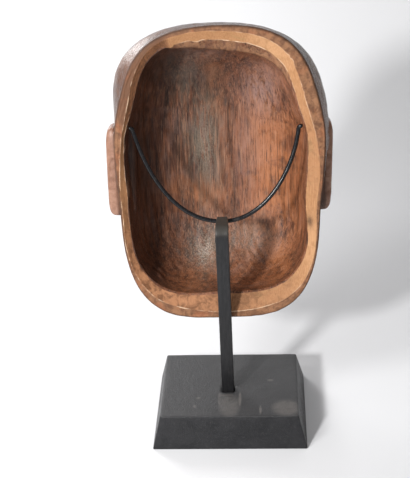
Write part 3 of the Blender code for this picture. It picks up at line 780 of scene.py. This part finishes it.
wood = carved_wood()
rings = mask_rings()
bowl_floor = hollow_skin(np.zeros(1), np.array([math.pi / 2]))[0]
face_front = face_skin(np.zeros(1), np.array([math.pi / 2]))[0]
mask_mesh = closed_mesh("mask", *(mask_to_frame(part) for part in (bowl_floor, rings, face_front)))
face_outwards(mask_mesh)
mask = add_piece("carved_mask", mask_mesh, wood)
ears = []
for ear_name, side, reach, tilt in zip(("left_ear", "right_ear"), (1, -1), EAR_REACH, EAR_TILT):
    lug = mask_to_frame(ear_rings(side, reach, tilt))
    ear_mesh = closed_mesh(ear_name, lug[0, 0], lug[1:-1], lug[-1, 0])
    face_outwards(ear_mesh)
    ears.append(add_piece(ear_name, ear_mesh, wood))
join_by_union(mask, ears)
mark_zones(mask.data)
mask.data.shade_smooth()
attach(mask, "root")
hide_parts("mask")

# Stand base: a block of wood with splayed sides, painted matt black and mortised for the bar's foot.
# The paint is rubbed along its upper edges, smudged behind the foot and uneven on its sides.
BASE_WIDTH = 0.150
BASE_LENGTH = 0.118
BASE_HEIGHT = 0.034
BASE_SPLAY = 0.0084
BASE_EDGE = 0.0012
BAR_WIDTH = 0.012
BAR_THICKNESS = 0.008
BAR_BACK = 0.0126
BAR_SIDE_SHIFT = 0.0019
MORTISE_DEPTH = 0.022
MORTISE_GLUED = 0.0004
BASE_RUBBED = 0.00003

# Marks on the top, as (x, y, half width, half length, strength) in millimetres
SMUDGES = [
    (0, 34, 13, 22, 0.60),
    (-10, 24, 2.0, 14, 0.9),
    (10, 24, 2.2, 14, 0.6),
    (3, 18, 9, 2.4, 0.7),
    (31, 22, 3.0, 2.0, 0.6),
    (34, 35, 1.6, 3.5, 0.6),
    (-30, 41, 1.5, 8, 0.9),
    (-55, 38, 17, 15, 0.75),
    (-40, -6, 4, 2.5, 0.6),
]


def box_loop(half_x, half_y, corner, side_steps=26, corner_steps=5):
    """A rectangle with round corners as (x, y) points, anticlockwise from the +X side."""
    turns = np.linspace(0, math.pi / 2, corner_steps)
    arcs = []
    for quarter, (sign_x, sign_y) in enumerate(((1, 1), (-1, 1), (-1, -1), (1, -1))):
        turned = turns + quarter * math.pi / 2
        middle = np.array([sign_x * (half_x - corner), sign_y * (half_y - corner)])
        arcs.append(middle + corner * np.stack([np.cos(turned), np.sin(turned)], axis=-1))
    part = np.linspace(0, 1, side_steps + 1)[1:-1, None]
    loop = []
    for arc, after in zip(arcs, arcs[1:] + arcs[:1]):
        loop += [arc, arc[-1] + (after[0] - arc[-1]) * part]
    return np.concatenate(loop)


def level_ring(half_x, half_y, corner, z, middle=(0.0, 0.0)):
    """Such a rectangle laid level at a height."""
    loop = box_loop(half_x, half_y, corner)
    return np.column_stack([loop + middle, np.full(len(loop), z)])


def base_rings():
    """From the underside up the splayed sides, over the top and down into the mortise."""
    half_x, half_y = BASE_WIDTH / 2 - BASE_RUBBED, BASE_LENGTH / 2 - BASE_RUBBED
    edge = BASE_EDGE
    rings = [level_ring(share * half_x, share * half_y, edge, 0.0) for share in (0.3, 0.6, 0.9)]
    turns = np.linspace(0, math.pi / 2, 5)
    levels = [(edge * (1 - np.cos(turn)), edge * (1 - np.sin(turn))) for turn in turns]
    levels += [(z, 0.0) for z in np.linspace(edge, BASE_HEIGHT - edge, 14)[1:-1]]
    levels += [(BASE_HEIGHT - edge * (1 - np.sin(turn)), edge * (1 - np.cos(turn))) for turn in turns]
    for z, rounding in levels:
        inset = BASE_SPLAY * z / BASE_HEIGHT + rounding
        rings.append(level_ring(half_x - inset, half_y - inset, edge, z))
    mortise_x, mortise_y = BAR_WIDTH / 2 + MORTISE_GLUED, BAR_THICKNESS / 2 + MORTISE_GLUED
    middle = (BAR_SIDE_SHIFT, BAR_BACK - BAR_THICKNESS / 2)
    rim = level_ring(mortise_x + 0.3 * MM, mortise_y + 0.3 * MM, 0.8 * MM, BASE_HEIGHT, middle)
    outer = rings[-1]
    rings += [outer + (rim - outer) * share for share in np.linspace(0, 1, 22)[1:]]
    rings.append(level_ring(mortise_x, mortise_y, 0.5 * MM, BASE_HEIGHT - 0.4 * MM, middle))
    rings.append(level_ring(mortise_x, mortise_y, 0.5 * MM, BASE_HEIGHT - MORTISE_DEPTH, middle))
    rings = np.stack(rings)
    dents = 0.05 * ripples(rings, 0.014, 51) - 0.12
    above = (rings[..., 2] > 0.5 * MM)[..., None]
    sunk = above * MM * dents[..., None] * np.array([0.0, 0.0, 1.0])
    return rings + sunk * smooth(rings[..., 2:], 0.0, BASE_HEIGHT)


def mark_base(mesh):
    """How near the worn edges, from the distances to the splayed planes, and what is on top."""
    x, y, z = points_of(mesh).T
    inset = BASE_SPLAY * z / BASE_HEIGHT
    from_side = np.maximum(0, BASE_WIDTH / 2 - inset - np.abs(x))
    from_end = np.maximum(0, BASE_LENGTH / 2 - inset - np.abs(y))
    from_top = np.hypot(BASE_HEIGHT - z, np.minimum(from_side, from_end))
    write_values(mesh, "from_rim", np.minimum(from_top, np.hypot(from_side, from_end)) / MM)
    write_values(mesh, "on_top", smooth(z, BASE_HEIGHT - 0.8 * MM, BASE_HEIGHT - 0.2 * MM))


def smudged(tree, place):
    """Largest of a few elliptical marks on the top, each fading out over its whole width."""
    most = 0.0
    for x, y, half_x, half_y, strength in SMUDGES:
        scale = (1 / (half_x * MM), 1 / (half_y * MM), 0.0)
        feeds = {"Vector": place, "Location": (-x / half_x, -y / half_y, 0.0), "Scale": scale}
        centred = add(tree, "Mapping", feeds).outputs[0]
        apart = add(tree, "VectorMath", {0: centred}, operation="LENGTH").outputs["Value"]
        most = calc(tree, "MAXIMUM", most, span(tree, apart, 1.0, 0.5, 0.0, strength))
    return calc(tree, "MULTIPLY", most, named(tree, "on_top"))


def black_paint():
    """Matt black, painted lighter on top as a painted sheen, with brown-grey smudges, and rubbed through
    to grey along its edges.
    """
    made, tree, shader = new_material("black_paint")
    place = add(tree, "TexCoord", {}).outputs["Object"]
    smudge = smudged(tree, place)
    clouds = unrest(tree, place, 60.0, 4.0, 0.6, 0.5)
    blots = unrest(tree, place, 260.0, 5.0, 0.7, 0.6)
    specks = unrest(tree, place, 1100.0, 3.0, 0.7)
    brown_grey = product(tree, smudge, span(tree, blots, 0.10, 0.60))
    rubbed = calc(tree, "ADD", named(tree, "from_rim"), product(tree, blots, 1.6))
    worn = product(tree, span(tree, rubbed, 1.25, 0.55), span(tree, clouds, 0.42, 0.62))
    paint = tint(tree, span(tree, clouds, 0.35, 0.65), (0.0070, 0.0070, 0.0085), (0.0130, 0.0127, 0.0145))
    paint = coats(tree, paint, (
        ((0.050, 0.047, 0.046), span(tree, blots, 0.56, 0.76), 0.45),
        # Painted sheen: the whole top is painted lighter, where light glances off it
        ((0.060, 0.059, 0.060), named(tree, "on_top"), 0.60),
        ((0.16, 0.145, 0.135), brown_grey, 0.75),
        ((0.075, 0.074, 0.078), span(tree, specks, 0.60, 0.72), 0.45),
        ((0.30, 0.27, 0.25), worn, 0.85),
    ))
    tree.links.new(paint, shader.inputs["Base Color"])
    rough = span(tree, clouds, 0.3, 0.7, 0.34, 0.44)
    rough = calc(tree, "ADD", rough, product(tree, smudge, 0.15))
    tree.links.new(rough, shader.inputs["Roughness"])
    shader.inputs["Specular IOR Level"].default_value = 0.38
    relief = calc(tree, "ADD", blots, product(tree, specks, 0.8))
    roughen(tree, shader, relief, 0.0008, 0.60)
    return made


base_skin = base_rings()
mortise_floor = np.append(base_skin[-1, :, :2].mean(axis=0), BASE_HEIGHT - MORTISE_DEPTH)
base_mesh = closed_mesh("base", np.zeros(3), base_skin, mortise_floor)
face_outwards(base_mesh)
mark_base(base_mesh)
base = add_piece("painted_block", base_mesh, black_paint())
base_mesh.shade_smooth()
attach(base, "root")
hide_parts("stand_base")

# Upright bar: flat black steel, let into the base and bent over toward the mask. It was heated for the
# bend, which left a burr at one edge. The bend and the arm are painted a lighter grey as painted light
# from above. The arm narrows to its end.
BAR_BEND = 0.010
BAR_TOP = 0.218
BAR_ARM = 0.0246
BAR_TIP_WIDTH = 0.0100
BAR_CORNER = 0.0007
FOOT_GAP = 0.0003
WELD_GAP = 0.0003


def capped_mesh(name, rings):
    """A closed mesh with a pole at the middle of its first and its last ring."""
    mesh = closed_mesh(name, rings[0].mean(axis=0), rings, rings[-1].mean(axis=0))
    face_outwards(mesh)
    return mesh


def bar_rings():
    """Round-cornered sections up the bar, round a quarter circle at the bend and along the arm."""
    foot = BASE_HEIGHT - MORTISE_DEPTH + FOOT_GAP
    bend_y, bend_z = BAR_BACK - BAR_BEND, BAR_TOP - BAR_BEND
    middle = BAR_BEND - BAR_THICKNESS / 2
    tip = BAR_BACK - BAR_ARM
    stations = [(BAR_BACK - BAR_THICKNESS / 2, z, 0.0) for z in np.linspace(foot, bend_z, 90)]
    stations += [
        (bend_y + middle * math.cos(turn), bend_z + middle * math.sin(turn), turn)
        for turn in np.linspace(0, math.pi / 2, 16)[1:]
    ]
    stations += [(y, BAR_TOP - BAR_THICKNESS / 2, math.pi / 2) for y in np.linspace(bend_y, tip, 18)[1:]]
    rings = []
    for y, z, turn in stations:
        along_arm = min(1.0, max(0.0, (bend_y - y) / (bend_y - tip)))
        half_width = (BAR_WIDTH + (BAR_TIP_WIDTH - BAR_WIDTH) * along_arm) / 2
        loop = box_loop(half_width, BAR_THICKNESS / 2, BAR_CORNER, 10, 4)
        out = np.array([0.0, math.cos(turn), math.sin(turn)])
        middle_point = np.array([BAR_SIDE_SHIFT, y, z])
        rings.append(middle_point + loop[:, :1] * np.array([1.0, 0.0, 0.0]) + loop[:, 1:] * out)
    first, last = rings[0], rings[-1]
    blunt_foot = first.mean(axis=0) + 0.9 * (first - first.mean(axis=0))
    blunt_tip = last.mean(axis=0) + 0.9 * (last - last.mean(axis=0))
    rings[-1] = last + np.array([0.0, 0.3 * MM, 0.0])
    rings = np.stack([blunt_foot] + rings + [blunt_tip])
    across, up = rings[..., 0] / MM, rings[..., 2] / MM
    burr = hill(across, up, BAR_SIDE_SHIFT / MM + 6, bend_z / MM - 2, 1.2, 1.6)
    rings[..., 0] += 0.6 * MM * burr * (rings[..., 1] > BAR_BACK - 2 * MM)
    return rings + 0.04 * MM * ripples(rings, 0.007, 61)[..., None]


def mark_painted_top_light(mesh):
    """1 on the bend and the arm, which are painted a lighter grey as painted light from above."""
    z = points_of(mesh)[:, 2]
    write_values(mesh, "painted_top_light", smooth(z, BAR_TOP - 10 * MM, BAR_TOP - 3 * MM))


def black_steel(name, rough_low, rough_high, shine):
    """Black paint on steel, thin enough in places for a brown wear to show."""
    made, tree, shader = new_material(name)
    place = add(tree, "TexCoord", {}).outputs["Object"]
    brushed = unrest(tree, stretched(tree, place, (1.0, 1.0, 0.08)), 900.0, 3.0, 0.6)
    blots = unrest(tree, place, 210.0, 5.0, 0.7, 0.6)
    paint = tint(tree, span(tree, brushed, 0.35, 0.65), (0.0065, 0.0065, 0.0075), (0.0140, 0.0138, 0.0150))
    paint = coats(tree, paint, (
        ((0.060, 0.046, 0.036), span(tree, blots, 0.60, 0.74), 0.55),
        # Painted light: the bend and the arm lighter grey, for the light from above that falls on them
        ((0.060, 0.054, 0.046), named(tree, "painted_top_light"), 0.70),
    ))
    tree.links.new(paint, shader.inputs["Base Color"])
    tree.links.new(span(tree, blots, 0.3, 0.7, rough_low, rough_high), shader.inputs["Roughness"])
    shader.inputs["Specular IOR Level"].default_value = shine
    roughen(tree, shader, blots, 0.0004, 0.30)
    return made


bar_mesh = capped_mesh("bar", bar_rings())
mark_painted_top_light(bar_mesh)
bar = add_piece("bent_bar", bar_mesh, black_steel("black_bar", 0.30, 0.42, 0.35))
bar_mesh.shade_smooth()
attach(bar, "root")
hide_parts("upright_bar")

# Cradle wire: a round rod bent to a U and welded across the end of the arm, in glossy black. Its two tips
# are turned out into the hollow's side walls, where the mask hangs on them.
WIRE_DIAMETER = 0.004
WIRE_DROP = 0.0062
WIRE_TIP_CLOCK = math.radians(61)
WIRE_TIP_DEPTH = 0.0080
WIRE_TIP_PLAY = 0.0014
WIRE_HOOK = 0.005
WIRE_ARM_LEANS = (0.12, 0.06)
WIRE_SIDES = 24
WIRE_STEPS = 90


def wall_radius(clock, depth):
    """Radius of the hollow's smooth wall at a depth below the rim."""
    edge, edge_depth = hollow_edge(clock)
    deep = max(0.0, (depth - edge_depth) / (HOLLOW_DEPTH - edge_depth))
    return edge * (1 - deep**HOLLOW_POWER) ** (1 / HOLLOW_POWER)


def wire_tip(clock):
    """Where a tip of the wire catches, just short of the hollow's side wall."""
    reach = float(wall_radius(clock, WIRE_TIP_DEPTH + WIRE_DIAMETER / 2)) - WIRE_TIP_PLAY
    x, z = across_and_up(clock, reach, MASK_HEIGHT / 2)
    return mask_to_frame(np.array([x, -WIRE_TIP_DEPTH, z]))


def wire_path():
    """Four cubic Bezier curves from the left tip by its elbow and the low middle to the right tip."""
    radius = WIRE_DIAMETER / 2
    low = np.array([BAR_SIDE_SHIFT, BAR_BACK - BAR_ARM - radius - WELD_GAP, BAR_TOP - WIRE_DROP])
    arms = []
    for clock, lean in zip((-WIRE_TIP_CLOCK, WIRE_TIP_CLOCK), WIRE_ARM_LEANS):
        end = wire_tip(clock)
        reach = end - low
        outward = np.array([math.copysign(1.0, reach[0]), 0.0, 0.0])
        elbow = end - WIRE_HOOK * (0.8 * outward + np.array([0.0, 0.0, 0.6]))
        steep = reach * (lean, 0.4, 0.43)
        flat = low + reach * (0.54, 0.0, 0.0)
        turn_out = end - 0.5 * WIRE_HOOK * outward
        arms.append([low, flat, elbow - steep, elbow, elbow + 0.05 * steep, turn_out, end])
    knots = arms[0][::-1] + arms[1][1:]
    part = np.linspace(0, 1, WIRE_STEPS, endpoint=False)[:, None]
    pieces = []
    for first in range(0, 12, 3):
        a, b, c, d = knots[first:first + 4]
        left = 1 - part
        pieces.append(left**3 * a + 3 * left**2 * part * b + 3 * left * part**2 * c + part**3 * d)
    return np.concatenate(pieces + [knots[-1][None]])


def wire_rings():
    """Circles square to the path, rounded off at both ends and a few hundredths uneven."""
    path = wire_path()
    apart = np.concatenate([[0], np.cumsum(np.linalg.norm(np.diff(path, axis=0), axis=1))])
    radius = WIRE_DIAMETER / 2
    from_end = np.minimum(apart, apart[-1] - apart)
    size = np.sqrt(np.clip(1 - np.clip(1 - from_end / radius, 0, 1) ** 2, 0.02, 1))
    ahead = np.gradient(path, axis=0)
    ahead /= np.linalg.norm(ahead, axis=1, keepdims=True)
    side = np.cross(ahead, [0.0, 1.0, 0.0])
    side /= np.linalg.norm(side, axis=1, keepdims=True)
    other = np.cross(ahead, side)
    turn = np.linspace(0, 2 * math.pi, WIRE_SIDES, endpoint=False)[:, None]
    circle = np.cos(turn) * side[:, None] + np.sin(turn) * other[:, None]
    rings = path[:, None] + circle * (radius * size)[:, None, None]
    return rings + circle * (0.02 * MM * ripples(rings, 0.009, 71) - 0.02 * MM)[..., None]


wire_mesh = capped_mesh("wire", wire_rings())
rod_paint = black_steel("black_rod", 0.16, 0.26, 0.26)
wire = add_piece("cradle_rod", wire_mesh, rod_paint)
wire_mesh.shade_smooth()
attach(wire, "root")
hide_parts("cradle_wire")

# Weld: a small bead of steel in each corner between the rod and the end of the arm, left as it set and
# painted over with them
BEAD_HALVES = (1.7 * MM, 1.5 * MM, 1.8 * MM)
BEAD_OFF_MIDDLE = 0.0046
BEAD_PAST_ARM = 0.0008
BEAD_UNDER_TOP = 0.0054
for bead_name, side in (("left_bead", 1), ("right_bead", -1)):
    bead_skin = ball(28, 18)[1:-1]
    bead_skin *= 1 + 0.12 * ripples(bead_skin, 1.3, 81 + side)[..., None]
    across, along = BAR_SIDE_SHIFT + side * BEAD_OFF_MIDDLE, BAR_BACK - BAR_ARM - BEAD_PAST_ARM
    centre = np.array([across, along, BAR_TOP - BEAD_UNDER_TOP])
    bead_mesh = capped_mesh(bead_name, centre + bead_skin * BEAD_HALVES)
    bead_mesh.shade_smooth()
    bead = add_piece(bead_name, bead_mesh, rod_paint)
    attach(bead, "root")

# Floor and backdrop: one pale sheet that runs level under the stand and sweeps up on the side of the face.
# It is clear from its back, so that the face can be looked at through it.
SWEEP_HALF_WIDTH = 3.0
SWEEP_NEAR = 2.5
SWEEP_START = -0.42
SWEEP_RADIUS = 0.30
SWEEP_TOP = 2.5


def sweep_grid(steps):
    """Level run, then a quarter circle about (SWEEP_START, SWEEP_RADIUS), then a straight rise."""
    turn = np.linspace(0, math.pi / 2, steps)
    wall_y = SWEEP_START - SWEEP_RADIUS
    y = np.concatenate([[SWEEP_NEAR], SWEEP_START - SWEEP_RADIUS * np.sin(turn), [wall_y]])
    z = np.concatenate([[0.0], SWEEP_RADIUS * (1 - np.cos(turn)), [SWEEP_TOP]])
    x = np.array([[-SWEEP_HALF_WIDTH], [SWEEP_HALF_WIDTH]])
    return np.stack(np.broadcast_arrays(x, y, z), axis=-1)


def grid_faces(rows, columns):
    """Quads of a grid whose points are numbered row by row."""
    first = (np.arange(rows - 1)[:, None] * columns + np.arange(columns - 1)).ravel()
    return np.stack([first, first + columns, first + columns + 1, first + 1], axis=1)


points = sweep_grid(24)
sheet = bpy.data.meshes.new("backdrop")
sheet.from_pydata(points.reshape(-1, 3).tolist(), [], grid_faces(*points.shape[:2])[:, ::-1].tolist())
sheet.shade_smooth()
paper, paper_tree, paper_shader = new_material("pale_paper")
paper_shader.inputs["Base Color"].default_value = (0.75, 0.75, 0.76, 1.0)
paper_shader.inputs["Roughness"].default_value = 0.75
behind = add(paper_tree, "NewGeometry", {}).outputs["Backfacing"]
clear = add(paper_tree, "BsdfTransparent", {}).outputs["BSDF"]
one_sided = add(paper_tree, "MixShader", {0: behind, 1: paper_shader.outputs["BSDF"], 2: clear})
paper_tree.links.new(one_sided.outputs[0], paper_tree.nodes["Material Output"].inputs["Surface"])
sheet.materials.append(paper)
backdrop = bpy.data.objects.new("backdrop", sheet)
scene.collection.objects.link(backdrop)

# Light: a window far to the left, a smaller lamp nearer the camera, a weak one on the side of the face and
# an even pale surround. Each lamp is given as its direction, distance, size and watts.
AIM = Vector((0.0, -0.02, 0.20))
LAMPS = {
    "window": (Vector((0.60, 0.47, 0.65)), 1.2, 0.34, 6.5),
    "lamp": (Vector((0.45, 0.77, 0.45)), 1.4, 0.15, 19.0),
    "face_lamp": (Vector((0.62, -0.70, 0.42)), 0.85, 0.30, 3.0),
}
SURROUND = 0.34

for name, (direction, distance, size, power) in LAMPS.items():
    light = bpy.data.lights.new(name, "AREA")
    light.shape = "DISK"
    light.size = size
    light.energy = power
    holder = bpy.data.objects.new(name, light)
    holder.visible_camera = False
    scene.collection.objects.link(holder)
    holder.location = AIM + direction.normalized() * distance
    holder.rotation_euler = direction.to_track_quat("Z", "Y").to_euler()

world = bpy.data.worlds.new("surround")
scene.world = world
world.use_nodes = True
world.node_tree.nodes["Background"].inputs["Color"].default_value = (1.0, 1.0, 1.0, 1.0)
world.node_tree.nodes["Background"].inputs["Strength"].default_value = SURROUND
scene.view_settings.view_transform = "Standard"
